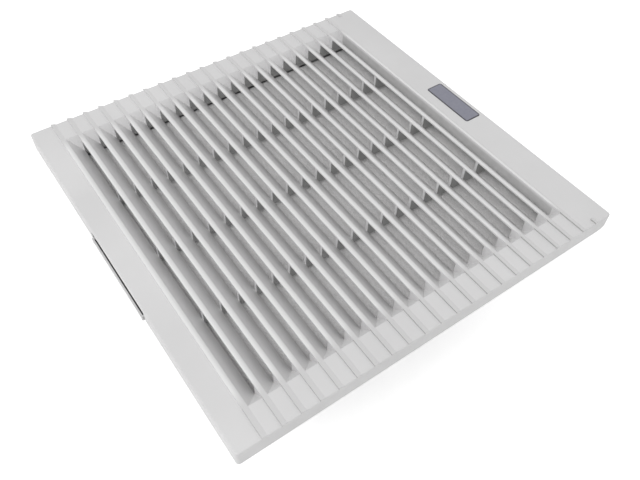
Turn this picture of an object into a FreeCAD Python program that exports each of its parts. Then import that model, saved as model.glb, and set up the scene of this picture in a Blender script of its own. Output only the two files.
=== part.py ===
import FreeCAD, Part
import math
import os

# Filter fan for a square cut-out in an enclosure panel, lying face up.
# Millimetres. The origin is the middle of the cut-out, in the outer face of the panel.
# X runs from the latch side to the hinge side, Y along the louvres and Z out of the panel.

V = FreeCAD.Vector
X_AXIS = V(1, 0, 0)
Y_AXIS = V(0, 1, 0)
Z_AXIS = V(0, 0, 1)

# Fits and gaps
running_fit = 0.05        # radial play of a pin or shaft in its bore
seat_gap = 0.3            # rest gap between pieces that move apart
overshoot = 1.0           # how far a cutting shape runs past the face it cuts
tolerance = 1e-6          # within which two places count as the same
diagonal = 45.0           # degrees

# Panel, frame and grille border
panel_cutout = 292.0
frame_overlap = 15.5      # how far the frame covers the panel round the cut-out
cutout_clearance = 1.0
box_wall = 2.5
grille_clearance = 1.5    # between the box and the bar round the louvres
bar_wall = 1.55           # from the head of the end facets to the bar's outer face
end_facet_run = 9.3       # length of the slope at each end of a louvre
rim_height = 14.5         # border above the panel
border_wall = 2.6
skirt_wall = 2.4
skirt_gap = 1.6           # between the skirt and the flange inside it
corner_radius = 2.5
border_edge_radius = 1.0
inner_wall = 2.85         # wall round the louvre field, below the bar
bar_underside = 5.5       # height of the bar's hollow underside

# Louvres
slot_count = 20
ridge_rise = 1.3          # crest lines above the border
ridge_stub = 5.0          # length of the last crest line, at each end
crest_width = 3.8
crest_drop = 1.3          # how far a crest falls over its width
crest_radius = 0.6
slat_drop = 11.5          # from a crest to the lower edge of its slat
slat_wall = 1.9           # measured upright
lip_height = 1.8
rib_count = 3
rib_thickness = 2.4

# Badge plate
badge_length = 50.6
badge_width = 15.6
badge_edge_gap = 3.6      # from the frame's edge
badge_depth = 0.9
badge_proud = 0.25
badge_corner = 2.2
badge_fit = 0.1

# Panel seal and flange
seal_thickness = 2.0
flange_thickness = 2.5
seal_inset = 0.5          # from the flange's edge
seal_box_gap = 1.5        # from the box

# Grille hinge
hinge_pin_radius = 1.5
hinge_ear_radius = 3.2
hinge_skirt_gap = 1.9
hinge_top_gap = 0.7
hinge_offset = 95.0       # each hinge from the middle of the side
knuckle_length = 9.4
hinge_ear_thickness = 4.0
hinge_side_gap = 0.3
hinge_flange_gap = 2.5
hinge_foot_length = 8.0
rest_post_radius = 3.0
rest_post_inset = 8.5

# Latch lever
latch_length = 82.0
latch_setback = 10.0      # pivot from the frame's edge
latch_pin_radius = 1.2
latch_knuckle_radius = 2.8
latch_reach = 1.5         # how far the grip stands out past the frame
latch_grip_wall = 1.3
latch_grip_top = 5.0
latch_floor_height = 0.9
latch_floor_wall = 1.4
latch_web_wall = 1.4
latch_web_gap = 0.6
latch_arm_wall = 2.0
latch_arm_gap = 0.5
latch_end_wall = 1.3
latch_window_gap = 1.0
latch_window_top = 10.4
latch_ear_thickness = 3.0
latch_pin_depth = 5.0
latch_nose_reach = 3.8
latch_nose_wall = 1.4
latch_nose_raise = 1.2    # lifts the nose so that it clears the flange as it dips
keeper_length = 24.0
keeper_wall = 1.6
keeper_lip = 1.0
grip_pad_thickness = 1.0
grip_pad_fit = 0.2

# Mounting frame
box_depth = 34.0
rear_wall = 2.5
hook_length = 22.0
hook_offset = 80.0
hook_rise = 2.6
hook_catch = 2.4          # panel thickness that the hooks take
hook_ramp = 9.0
shelf_depth = 20.6        # seat of the filter grid below the panel face
shelf_wall = 3.0
shelf_width = 8.5

# Filter mat and grid
mat_thickness = 15.8
mat_top_gap = 2.0
mat_side = 262.0
mat_corner_radius = 2.5
mat_clearance = 1.0
grid_wall = 2.5
grid_rim_wall = 2.0
grid_rim_height = 13.0
grid_cells = 10
grid_bar = 2.5
grid_edge_gap = 1.0

# Fan housing
fan_bore = 220.0
fan_ring_wall = 3.0
fan_flange_radius = 128.0
fan_flange_wall = 4.0
fan_depth = 64.0          # from the rear wall to the back of the ring
fan_screw_circle = 120.2
inlet_clearance = 2.0
arm_count = 4
arm_width = 11.0
arm_depth = 8.0
seat_radius = 40.0
seat_wall = 5.0
guard_boss_radius = 5.0
guard_boss_circle = 117.0
boss_radius = 4.5
boss_height = 5.0

# Motor
base_radius = 36.0
base_wall = 5.0
motor_screw_circle = 25.0
motor_screw_cover = 1.0   # metal left in front of a motor screw's hole
shaft_radius = 4.0
bearing_radius = 8.0
bearing_width = 5.0
bearing_groove = 0.8      # half the width of the groove over the balls, and twice its depth
tube_wall = 3.0
stator_radius = 34.0
stator_length = 22.0
coil_height = 6.0
coil_edge = 2.0
slot_lobes = 12
stator_slot_width = 3.0
coil_notch_radius = 2.1
air_gap = 0.6
bell_radius = 46.0
bell_wall = 3.0
bell_length = 38.0
bell_boss_radius = 7.0
bell_boss_length = 2.0
bell_stator_gap = 3.0     # from the bell's inner face to the coil heads
circlip_wall = 0.8
circlip_rise = 1.6
circlip_gap = 2.6
bearing_gap = 0.5

# Impeller
blade_count = 7
hub_wall = 3.0
tip_gap = 2.5
blade_thickness = 2.6
root_chord = 46.0
tip_chord = 76.0
root_pitch = 48.0         # degrees from the plane of rotation
tip_pitch = 27.0
blade_camber = 5.0
blade_edge = 1.0          # thickness of a blade's two long edges
twist_ease = 2.0          # degrees that the middle is flatter than half-way
hub_front_gap = 2.0

# Finger guard
wire_radius = 1.5
guard_first_ring = 18.0
guard_ring_step = 15.0
guard_outer_gap = 9.0     # from the outer ring to the bosses' circle, at least
wire_sink = 0.6           # depth of the weld where wires cross
eyelet_wall = 2.0

# Terminal box
box_side = 52.0
box_corner_cut = 22.0
box_edge_gap = 3.0
terminal_depth = 30.0
terminal_wall = 2.0
cover_wall = 2.0
post_radius = 3.5
post_shift = 5.5          # along the walls, clear of the gland
block_length = 26.0
block_width = 14.0
block_height = 12.0
terminal_count = 3
terminal_screw_depth = 8.0
wire_hole_radius = 2.0
wire_hole_depth = 3.5
wire_hole_height = 4.0    # above the block's foot
capacitor_radius = 5.0
capacitor_length = 24.0
capacitor_shift = 6.0     # of its near end from the middle of the box
capacitor_edge = 1.2
content_gap = 1.5         # between what lies in the box

# Cable gland
gland_bore = 7.0
gland_thread_radius = 7.5
gland_flat = 20.0
gland_hex_length = 5.0
gland_cap_length = 14.0
gland_seal_wall = 2.0
gland_seal_step = 0.5     # how far the body's bore clears the seal's
gland_nut_fit = 0.1
gland_cap_wall = 2.5
gland_outlet = 4.5
locknut_wall = 3.5

# Motor lead
lead_radius = 2.2
lead_bend = 13.2
lead_clearance = 0.4

# Fasteners
screw_radius = 1.9
screw_head_radius = 3.8
screw_head_height = 2.4
screw_recess = 1.4
recess_width = 0.9
recess_length = 4.6

# Worked-out places
frame_half = panel_cutout / 2 + frame_overlap
box_half = panel_cutout / 2 - cutout_clearance
box_inner = box_half - box_wall
bar_half = box_inner - grille_clearance
facet_half = bar_half - bar_wall
field_half = facet_half - end_facet_run
louvre_pitch = 2 * field_half / (slot_count - 1)
slat_slope = (slat_drop - crest_drop) / (louvre_pitch - crest_width)
crest_z = rim_height + ridge_rise
ceiling_z = rim_height - border_wall
flange_half = frame_half - skirt_wall - skirt_gap
flange_top = seal_thickness + flange_thickness
hinge_x = frame_half - skirt_wall - hinge_skirt_gap - hinge_ear_radius
hinge_z = ceiling_z - hinge_top_gap - hinge_ear_radius
flange_hinge_end = hinge_x - hinge_flange_gap
latch_x = latch_setback - frame_half
latch_z = ceiling_z - hinge_top_gap - latch_knuckle_radius
latch_half = latch_length / 2
grid_top = -shelf_depth + grid_wall
mat_half = mat_side / 2
mat_bottom = -mat_top_gap - mat_thickness
box_rear = -box_depth
fan_rear = box_rear - fan_depth
fan_radius = fan_bore / 2
ring_outer = fan_radius + fan_ring_wall
base_top = fan_rear + seat_wall + base_wall
tube_radius = bearing_radius + tube_wall
rear_bearing_z = base_top - base_wall + bearing_gap
coil_low = base_top + bearing_gap
core_low = coil_low + coil_height
core_high = core_low + stator_length
coil_high = core_high + coil_height
bell_inner_z = coil_high + bell_stator_gap
bell_front = bell_inner_z + bell_wall
bell_low = bell_front - bell_length
tube_top = bell_inner_z - bell_boss_length - bearing_gap
front_bearing_z = tube_top - bearing_width
hub_radius = bell_radius + hub_wall
hub_high = bell_front - hub_front_gap
blade_z = (bell_front + bell_low) / 2
guard_spoke_z = fan_rear - seat_gap - wire_radius
guard_ring_z = guard_spoke_z - 2 * wire_radius + wire_sink
guard_ring_room = guard_boss_circle - guard_outer_gap - guard_first_ring
guard_ring_count = math.floor(guard_ring_room / guard_ring_step + tolerance) + 1
terminal_edge = box_half - box_edge_gap
terminal_inner = terminal_edge - box_side
terminal_rear = box_rear - terminal_depth
gland_y = terminal_edge - (box_side - box_corner_cut) / 2
gland_z = box_rear - terminal_depth / 2
lead_z = fan_rear + lead_radius + lead_clearance
lead_entry = (2 * terminal_inner + box_corner_cut) / math.sqrt(2)
lead_rise_radius = (ring_outer + lead_entry) / 2
latch_edge = -frame_half - latch_reach


def block(x0, x1, y0, y1, z0, z1):
    return Part.makeBox(x1 - x0, y1 - y0, z1 - z0, V(x0, y0, z0))


def square(half, z0, z1):
    return block(-half, half, -half, half, z0, z1)


def disc(radius, z0, z1, x=0.0, y=0.0):
    return Part.makeCylinder(radius, z1 - z0, V(x, y, z0), Z_AXIS)


def tube(outer, inner, z0, z1, x=0.0, y=0.0):
    return disc(outer, z0, z1, x, y).cut(disc(inner, z0 - overshoot, z1 + overshoot, x, y))


def rod_y(radius, x, z, y0, y1):
    return Part.makeCylinder(radius, y1 - y0, V(x, y0, z), Y_AXIS)


def prism_y(points, y0, y1):
    """Solid with an XZ outline, running along Y."""
    loop = [V(x, y0, z) for x, z in points]
    face = Part.Face(Part.makePolygon(loop + loop[:1]))
    return face.extrude(V(0, y1 - y0, 0))


def prism_x(points, x0, x1):
    """Solid with a YZ outline, running along X."""
    loop = [V(x0, y, z) for y, z in points]
    face = Part.Face(Part.makePolygon(loop + loop[:1]))
    return face.extrude(V(x1 - x0, 0, 0))


def prism_z(points, z0, z1):
    """Solid with an XY outline, running along Z."""
    loop = [V(x, y, z0) for x, y in points]
    face = Part.Face(Part.makePolygon(loop + loop[:1]))
    return face.extrude(V(0, 0, z1 - z0))


def joined(shapes):
    whole = shapes[0].fuse(shapes[1:]) if len(shapes) > 1 else shapes[0]
    return whole.removeSplitter()


def turned(shape, degrees):
    copy = shape.copy()
    copy.rotate(V(0, 0, 0), Z_AXIS, degrees)
    return copy


def upright_edges(shape, half):
    """The four upright corner edges of a square block."""
    found = []
    for edge in shape.Edges:
        box = edge.BoundBox
        at_corner = abs(abs(box.XMin) - half) < tolerance and abs(abs(box.YMin) - half) < tolerance
        if at_corner and box.ZLength > max(box.XLength, box.YLength):
            found.append(edge)
    return found


def rounded_block(half_x, half_y, z0, z1, radius, x=0.0, y=0.0):
    solid = block(x - half_x, x + half_x, y - half_y, y + half_y, z0, z1)
    edges = [e for e in solid.Edges if e.BoundBox.ZLength > (z1 - z0) / 2]
    return solid.makeFillet(radius, edges)


def screw(x, y, seat_z, length, direction):
    """Pan-head screw: its head lies past the seat, against the direction that it is driven in."""
    head = Part.makeCylinder(screw_head_radius, screw_head_height)
    rim = [e for e in head.Edges if abs(e.BoundBox.ZMin - screw_head_height) < tolerance]
    head = head.makeFillet(screw_head_height / 2, rim)
    reach = recess_length / 2
    for across, along in ((reach, recess_width / 2), (recess_width / 2, reach)):
        slot = block(-across, across, -along, along,
                     screw_head_height - screw_recess, screw_head_height + overshoot)
        head = head.cut(slot)
    shank = Part.makeCylinder(screw_radius, length, V(0, 0, -length), Z_AXIS)
    solid = joined([head, shank])
    if direction > 0:
        solid.rotate(V(0, 0, 0), X_AXIS, 180)
    solid.translate(V(x, y, seat_z))
    return solid


def screw_hole(x, y, z0, z1):
    return disc(screw_radius, z0, z1, x, y)


def four_ways(radius, first=0.0):
    """Four points on a circle, a quarter turn apart."""
    return [(radius * math.cos(math.radians(first + 90 * i)),
             radius * math.sin(math.radians(first + 90 * i))) for i in range(4)]


def corners(half):
    return [(sx * half, sy * half) for sx in (-1, 1) for sy in (-1, 1)]


def save(node, shape):
    shape.exportStep("parts/%s.step" % node)


def save_group(node, solids):
    save(node, Part.makeCompound(solids))


def crest_x(index):
    """Left edge of a crest line, counted from the latch side."""
    return (index - (slot_count + 1) / 2) * louvre_pitch


def slat_face_z(across):
    """Height of a slat's upper face at a distance from its crest's left edge."""
    return crest_z - crest_drop - (across - crest_width) * slat_slope


def slat_face_reach(height):
    """Distance from a crest's left edge at which its slat's face reaches a height."""
    return crest_width + (crest_z - crest_drop - height) / slat_slope


def ridge(index, y0, y1):
    """One crest line on the border: sharp on the left, falling to a slope on the right."""
    left = crest_x(index)
    foot = rim_height - border_wall
    top = crest_drop / crest_width
    tilt_top = math.atan(top)
    tilt_face = math.atan(slat_slope)
    reach = crest_radius * math.tan((tilt_face - tilt_top) / 2)
    arc_start = V(left + crest_width - reach * math.cos(tilt_top), 0,
                  crest_z - crest_drop + reach * math.sin(tilt_top))
    arc_end = V(left + crest_width + reach * math.cos(tilt_face), 0,
                crest_z - crest_drop - reach * math.sin(tilt_face))
    tilt_mid = (tilt_top + tilt_face) / 2
    sagitta = crest_radius * (1 / math.cos((tilt_face - tilt_top) / 2) - 1)
    arc_mid = V(left + crest_width - sagitta * math.sin(tilt_mid), 0,
                crest_z - crest_drop - sagitta * math.cos(tilt_mid))
    start = V(left, 0, crest_z)
    slope_foot = V(left + slat_face_reach(foot), 0, foot)
    base = V(left, 0, foot)
    outline = Part.Wire([
        Part.makeLine(start, arc_start),
        Part.Arc(arc_start, arc_mid, arc_end).toShape(),
        Part.makeLine(arc_end, slope_foot),
        Part.makeLine(slope_foot, base),
        Part.makeLine(base, start)])
    outline.translate(V(0, y0, 0))
    return Part.Face(outline).extrude(V(0, y1 - y0, 0))


def ridges():
    """All crest lines; the last one, past the louvres, is only a stub at each edge of the frame."""
    half = frame_half
    lines = [ridge(i, -half, half) for i in range(slot_count + 1)]
    lines.append(ridge(slot_count + 1, -half, ridge_stub - half))
    lines.append(ridge(slot_count + 1, half - ridge_stub, half))
    return lines


def louvre_recess(index):
    """Air above one slat, with its two sloping ends."""
    left = crest_x(index)
    right = crest_x(index + 1)
    top = crest_z + overshoot
    start = slat_face_reach(rim_height)
    low = crest_z - slat_drop
    channel = prism_y([(left + start, rim_height), (right, low), (right, top), (left + start, top)],
                      -frame_half, frame_half)
    rise = (facet_half - field_half) / (rim_height - low)
    far = field_half + rise * (top - low)
    ends = prism_x([(-field_half, low), (field_half, low), (far, top), (-far, top)], left, right)
    return channel.common(ends)


def louvre_underside(y0, y1):
    """Air below the slats in one bay between two ribs."""
    points = []
    for index in range(1, slot_count):
        left = crest_x(index)
        right = crest_x(index + 1)
        points.append((left, crest_z - lip_height))
        points.append((left + crest_width, crest_z - crest_drop - slat_wall))
        points.append((right, crest_z - slat_drop - slat_wall))
    points.append((crest_x(slot_count), -overshoot))
    points.append((crest_x(1), -overshoot))
    return prism_y(points, y0, y1)


def hinge_spans():
    return [(side * hinge_offset - knuckle_length / 2, side * hinge_offset + knuckle_length / 2)
            for side in (-1, 1)]


def louvre_grille():
    half = frame_half
    border = square(half, 0, rim_height)
    border = border.makeFillet(corner_radius, upright_edges(border, half))
    top_edges = [e for e in border.Edges if abs(e.BoundBox.ZMin - rim_height) < tolerance]
    border = border.makeFillet(border_edge_radius, top_edges)
    body = border.fuse(ridges())

    cuts = [louvre_recess(i) for i in range(slot_count)]
    bay = 2 * field_half / (rib_count + 1)
    for i in range(rib_count + 1):
        first = rib_thickness / 2 if i else 0.0
        last = rib_thickness / 2 if i < rib_count else 0.0
        cuts.append(louvre_underside(-field_half + i * bay + first, -field_half + (i + 1) * bay - last))
    inside = half - skirt_wall
    hollow_high = square(inside, -overshoot, ceiling_z).cut(square(bar_half, -overshoot, ceiling_z))
    low_half = field_half + inner_wall
    hollow_low = square(inside, -overshoot, bar_underside).cut(
        square(low_half, -overshoot, bar_underside))
    cuts.append(hollow_high)
    cuts.append(hollow_low)
    body = body.cut(cuts)

    # The corner below the hinge is rounded about the pin, so that it clears the panel as it swings
    swing = hinge_z - seat_gap
    swing_relief = block(hinge_x, half + overshoot, -half - overshoot, half + overshoot,
                         -overshoot, hinge_z)
    swing_relief = swing_relief.cut(rod_y(swing, hinge_x, hinge_z, -half - 2 * overshoot,
                                          half + 2 * overshoot))
    window_half = latch_half + latch_window_gap
    window = block(-half - overshoot, -inside + overshoot, -window_half, window_half,
                   -overshoot, latch_window_top)
    badge_x = half - badge_edge_gap - badge_width / 2
    badge_seat = rounded_block(badge_width / 2 + badge_fit, badge_length / 2 + badge_fit,
                               rim_height - badge_depth, crest_z + overshoot,
                               badge_corner, badge_x)
    body = body.cut([swing_relief, window, badge_seat])

    added = []
    for y0, y1 in hinge_spans():
        lug = block(hinge_x - hinge_ear_radius, hinge_x + hinge_ear_radius, y0, y1,
                    hinge_z, ceiling_z + border_wall / 2)
        lug = lug.fuse(rod_y(hinge_ear_radius, hinge_x, hinge_z, y0, y1))
        added.append(lug.cut(rod_y(hinge_pin_radius + running_fit, hinge_x, hinge_z,
                                   y0 - overshoot, y1 + overshoot)))
    for side in (-1, 1):
        y0, y1 = latch_ear_span(side)
        ear = block(latch_x - latch_knuckle_radius, latch_x + latch_knuckle_radius, y0, y1,
                    latch_z, ceiling_z + border_wall / 2)
        ear = ear.fuse(rod_y(latch_knuckle_radius, latch_x, latch_z, y0, y1))
        added.append(ear.cut(rod_y(latch_pin_radius, latch_x, latch_z,
                                   y0 - overshoot, y1 + overshoot)))
        for x in (-flange_half + rest_post_inset, flange_hinge_end - rest_post_inset):
            added.append(disc(rest_post_radius, flange_top + seat_gap, ceiling_z + border_wall / 2,
                              x, side * (flange_half - rest_post_inset)))
    return joined([body] + added)


def badge_plate():
    badge_x = frame_half - badge_edge_gap - badge_width / 2
    low = rim_height - badge_depth
    high = rim_height + badge_proud
    plate = rounded_block(badge_width / 2, badge_length / 2, low, high, badge_corner - badge_fit,
                          badge_x)
    rim = [e for e in plate.Edges if abs(e.BoundBox.ZMin - high) < tolerance]
    return plate.makeFillet(badge_proud, rim)


def latch_ear_span(side):
    near = latch_half + hinge_side_gap
    far = near + latch_ear_thickness
    return (near, far) if side > 0 else (-far, -near)


def latch_lever():
    web_x = -flange_half - latch_web_gap
    arm_low = flange_top + latch_arm_gap
    arm_high = arm_low + latch_arm_wall
    floor_top = latch_floor_height + latch_floor_wall
    profile = [
        (latch_edge, latch_floor_height),
        (web_x, latch_floor_height),
        (web_x, arm_low),
        (latch_x, arm_low),
        (latch_x + latch_nose_reach, arm_low + latch_nose_raise),
        (latch_x + latch_nose_reach, arm_low + latch_nose_raise + latch_nose_wall),
        (latch_x + latch_knuckle_radius, latch_z),
        (latch_x - latch_knuckle_radius, latch_z),
        (latch_x - latch_knuckle_radius, arm_high),
        (web_x - latch_web_wall, arm_high),
        (web_x - latch_web_wall, floor_top),
        (latch_edge + latch_grip_wall, floor_top),
        (latch_edge + latch_grip_wall, latch_grip_top),
        (latch_edge, latch_grip_top)]
    body = prism_y(profile, -latch_half, latch_half)
    knuckle = rod_y(latch_knuckle_radius, latch_x, latch_z, -latch_half, latch_half)
    ends = []
    for side in (-1, 1):
        y0, y1 = sorted((side * latch_half, side * (latch_half - latch_end_wall)))
        ends.append(block(latch_edge, web_x, y0, y1, latch_floor_height, latch_grip_top))
    body = joined([body, knuckle] + ends)
    bores = []
    for side in (-1, 1):
        y0, y1 = sorted((side * (latch_half + overshoot),
                         side * (latch_half - latch_pin_depth - seat_gap)))
        bores.append(rod_y(latch_pin_radius + running_fit, latch_x, latch_z, y0, y1))
    return body.cut(bores)


def latch_grip_pad():
    floor_top = latch_floor_height + latch_floor_wall
    web_x = -flange_half - latch_web_gap - latch_web_wall
    long = latch_half - latch_end_wall - grip_pad_fit
    return block(latch_edge + latch_grip_wall + grip_pad_fit, web_x - grip_pad_fit, -long, long,
                 floor_top, floor_top + grip_pad_thickness)


def latch_pins():
    pins = []
    for side in (-1, 1):
        far = max(abs(y) for y in latch_ear_span(side))
        y0, y1 = sorted((side * (latch_half - latch_pin_depth), side * far))
        pins.append(rod_y(latch_pin_radius, latch_x, latch_z, y0, y1))
    return pins


def hinge_pins():
    reach = hinge_side_gap + hinge_ear_thickness
    return [rod_y(hinge_pin_radius, hinge_x, hinge_z, y0 - reach, y1 + reach)
            for y0, y1 in hinge_spans()]


def hinge_ear(y0, y1):
    foot = block(flange_hinge_end - hinge_foot_length, flange_hinge_end, y0, y1,
                 flange_top - flange_thickness / 2, hinge_z)
    head = block(flange_hinge_end - hinge_foot_length / 2, hinge_x, y0, y1,
                 hinge_z - hinge_ear_radius / 2, hinge_z + hinge_ear_radius)
    tip = rod_y(hinge_ear_radius, hinge_x, hinge_z, y0, y1)
    ear = foot.fuse([head, tip])
    return ear.cut(rod_y(hinge_pin_radius, hinge_x, hinge_z, y0 - overshoot, y1 + overshoot))


def snap_hook():
    """Wedge on the box's wall that springs out behind the panel."""
    outline = [(box_half - box_wall / 2, -hook_catch),
               (box_half + hook_rise, -hook_catch),
               (box_half, -hook_catch - hook_ramp),
               (box_half - box_wall / 2, -hook_catch - hook_ramp)]
    return prism_y(outline, -hook_length / 2, hook_length / 2)


def keeper():
    """Catch on the flange beside the nose of the latch lever."""
    lip_x = latch_x + latch_nose_reach + seat_gap
    low = flange_top + latch_arm_gap + latch_nose_raise + latch_nose_wall + seat_gap
    outline = [(lip_x + keeper_lip, flange_top - flange_thickness / 2),
               (lip_x + keeper_lip + keeper_wall, flange_top - flange_thickness / 2),
               (lip_x + keeper_lip + keeper_wall, low + keeper_wall),
               (lip_x, low + keeper_wall),
               (lip_x, low),
               (lip_x + keeper_lip, low)]
    return prism_y(outline, -keeper_length / 2, keeper_length / 2)


def mounting_frame():
    flange = block(-flange_half, flange_hinge_end, -flange_half, flange_half,
                   seal_thickness, flange_top)
    body = joined([flange, square(box_half, box_rear, flange_top)])
    body = body.cut(square(box_inner, box_rear + rear_wall, flange_top + overshoot))
    added = []
    shelf_low = -shelf_depth - shelf_wall
    shelf = square(box_inner + box_wall / 2, shelf_low, -shelf_depth)
    added.append(shelf.cut(square(box_inner - shelf_width, shelf_low - overshoot,
                                  -shelf_depth + overshoot)))
    for x, y in corners(box_inner - shelf_width / 2):
        added.append(disc(boss_radius, box_rear + rear_wall / 2, -shelf_depth, x, y).common(
            square(box_inner + box_wall / 2, box_rear, 0)))
    for x, y in four_ways(fan_screw_circle, diagonal):
        added.append(disc(boss_radius, box_rear + rear_wall / 2,
                          box_rear + rear_wall + boss_height, x, y))
    for quarter in range(4):
        for along in (-hook_offset, hook_offset):
            hook = snap_hook()
            hook.translate(V(0, along, 0))
            added.append(turned(hook, 90 * quarter))
    for y0, y1 in hinge_spans():
        added.append(hinge_ear(y0 - hinge_side_gap - hinge_ear_thickness, y0 - hinge_side_gap))
        added.append(hinge_ear(y1 + hinge_side_gap, y1 + hinge_side_gap + hinge_ear_thickness))
    added.append(keeper())
    body = joined([body] + added)
    cuts = [disc(fan_radius + inlet_clearance, box_rear - overshoot, box_rear + rear_wall + overshoot)]
    for x, y in corners(box_inner - shelf_width / 2):
        cuts.append(screw_hole(x, y, -shelf_depth - boss_height, -shelf_depth + overshoot))
    for x, y in four_ways(fan_screw_circle, diagonal):
        cuts.append(screw_hole(x, y, box_rear - overshoot, box_rear + rear_wall + boss_height / 2))
    for x, y in terminal_screw_places():
        cuts.append(screw_hole(x, y, box_rear - overshoot, box_rear + rear_wall + overshoot))
    return body.cut(cuts)


def panel_seal():
    half = flange_half - seal_inset
    outer = block(-half, flange_hinge_end - seal_inset, -half, half, 0, seal_thickness)
    return outer.cut(square(box_half + seal_box_gap, -overshoot, seal_thickness + overshoot))


def filter_grid():
    half = box_inner - grid_edge_gap
    hold = mat_half + mat_clearance
    plate = square(half, -shelf_depth, grid_top)
    rim = square(hold + grid_rim_wall, grid_top - grid_wall / 2, grid_top + grid_rim_height)
    rim = rim.cut(square(hold, grid_top - grid_wall, grid_top + grid_rim_height + overshoot))
    body = joined([plate, rim])
    pitch = 2 * hold / grid_cells
    cells = []
    for i in range(grid_cells):
        for j in range(grid_cells):
            x = -hold + i * pitch
            y = -hold + j * pitch
            gap = grid_bar / 2
            cells.append(block(x + gap, x + pitch - gap, y + gap, y + pitch - gap,
                               -shelf_depth - overshoot, grid_top + overshoot))
    for x, y in corners(box_inner - shelf_width / 2):
        cells.append(screw_hole(x, y, -shelf_depth - overshoot, grid_top + overshoot))
    return body.cut(cells)


def grid_screws():
    length = grid_wall + boss_height - seat_gap
    return [screw(x, y, grid_top, length, -1) for x, y in corners(box_inner - shelf_width / 2)]


def filter_mat():
    return rounded_block(mat_half, mat_half, mat_bottom, -mat_top_gap, mat_corner_radius)


def fan_housing():
    plate = disc(fan_flange_radius, box_rear - fan_flange_wall, box_rear)
    ring = disc(ring_outer, fan_rear, box_rear)
    columns = [disc(guard_boss_radius, fan_rear, box_rear - fan_flange_wall / 2, x, y)
               for x, y in four_ways(guard_boss_circle)]
    screw_places = four_ways(fan_screw_circle, diagonal)
    ears = [disc(boss_radius, box_rear - fan_flange_wall, box_rear, x, y) for x, y in screw_places]
    near, far = sorted((ring_outer, fan_screw_circle))
    neck = block(near, far, -boss_radius, boss_radius, box_rear - fan_flange_wall, box_rear)
    ears += [turned(neck, diagonal + 90 * i) for i in range(4)]
    body = joined([plate, ring] + columns)
    body = body.cut(disc(fan_radius, fan_rear - overshoot, box_rear + overshoot))
    arm_reach = fan_radius + fan_ring_wall / 2
    arms = [turned(block(seat_radius / 2, arm_reach, -arm_width / 2, arm_width / 2,
                         fan_rear, fan_rear + arm_depth), diagonal + 360 * i / arm_count)
            for i in range(arm_count)]
    seat = disc(seat_radius, fan_rear, fan_rear + seat_wall)
    above = disc(base_radius + inlet_clearance, fan_rear + seat_wall,
                 fan_rear + arm_depth + overshoot)
    spider = joined([seat] + arms).cut(above)
    body = joined([body, spider] + ears)
    cuts = [disc(tube_radius, fan_rear - overshoot, fan_rear + seat_wall + overshoot)]
    for x, y in screw_places:
        cuts.append(screw_hole(x, y, box_rear - fan_flange_wall - overshoot, box_rear + overshoot))
        cuts.append(disc(screw_head_radius + seat_gap, fan_rear - overshoot,
                         box_rear - fan_flange_wall, x, y))
    for x, y in four_ways(guard_boss_circle):
        cuts.append(screw_hole(x, y, fan_rear - overshoot, fan_rear + 2 * boss_height))
    for x, y in four_ways(motor_screw_circle, diagonal):
        cuts.append(screw_hole(x, y, fan_rear - overshoot, fan_rear + seat_wall + overshoot))
    groove_half = lead_radius + lead_clearance
    groove = block(base_radius - seat_wall, ring_outer + overshoot, -groove_half, groove_half,
                   fan_rear - overshoot, lead_z + groove_half)
    cuts.append(turned(groove, diagonal))
    return body.cut(cuts)


def fan_screws():
    length = fan_flange_wall + rear_wall + boss_height / 2 - seat_gap
    return [screw(x, y, box_rear - fan_flange_wall, length, 1)
            for x, y in four_ways(fan_screw_circle, diagonal)]


def motor_base():
    flange = disc(base_radius, base_top - base_wall, base_top)
    stem = disc(tube_radius, base_top - base_wall, tube_top)
    body = joined([flange, stem])
    cuts = [disc(bearing_radius - tube_wall / 2, base_top - base_wall - overshoot, tube_top + overshoot),
            disc(bearing_radius, base_top - base_wall - overshoot, rear_bearing_z + bearing_width),
            disc(bearing_radius, front_bearing_z, tube_top + overshoot)]
    for x, y in four_ways(motor_screw_circle, diagonal):
        cuts.append(screw_hole(x, y, base_top - base_wall - overshoot,
                               base_top - motor_screw_cover))
    return body.cut(cuts)


def motor_screws():
    length = seat_wall + base_wall - motor_screw_cover - seat_gap
    return [screw(x, y, fan_rear, length, 1) for x, y in four_ways(motor_screw_circle, diagonal)]


def stator_core():
    core = tube(stator_radius, tube_radius, core_low, core_high)
    cuts = []
    for i in range(slot_lobes):
        slot = block(tube_radius + 2 * coil_edge, stator_radius + overshoot,
                     -stator_slot_width / 2, stator_slot_width / 2,
                     core_low - overshoot, core_high + overshoot)
        cuts.append(turned(slot, 360 * i / slot_lobes))
    return core.cut(cuts)


def stator_coils():
    """Winding heads: one lobed ring on each end of the core."""
    coils = []
    for low in (coil_low, core_high):
        inner = tube_radius + coil_edge
        outer = stator_radius - coil_edge
        ring = tube(outer, inner, low, low + coil_height)
        notch = coil_notch_radius
        cuts = []
        for i in range(slot_lobes):
            cut = disc(notch, low - overshoot, low + coil_height + overshoot, outer + notch / 2, 0)
            cuts.append(turned(cut, 360 * (i + 0.5) / slot_lobes))
        coils.append(ring.cut(cuts))
    return coils


def bearing(low):
    body = tube(bearing_radius, shaft_radius + running_fit, low, low + bearing_width)
    groove_mid = (bearing_radius + shaft_radius) / 2
    groove = bearing_groove
    rings = [tube(groove_mid + groove, groove_mid - groove, z, z + groove)
             for z in (low - groove / 2, low + bearing_width - groove / 2)]
    return body.cut(rings)


def rotor_bell():
    cup = disc(bell_radius, bell_low, bell_front)
    rim = [e for e in cup.Edges if abs(e.BoundBox.ZMin - bell_front) < tolerance]
    cup = cup.makeFillet(bell_wall, rim)
    cup = cup.cut(disc(bell_radius - bell_wall, bell_low - overshoot, bell_inner_z))
    boss = disc(bell_boss_radius, bell_inner_z - bell_boss_length, bell_inner_z + bell_wall / 2)
    body = joined([cup, boss])
    return body.cut(disc(shaft_radius, bell_inner_z - bell_boss_length - overshoot,
                         bell_inner_z + bell_wall / 2))


def rotor_cage():
    return tube(bell_radius - bell_wall, stator_radius + air_gap, core_low, core_high)


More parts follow.
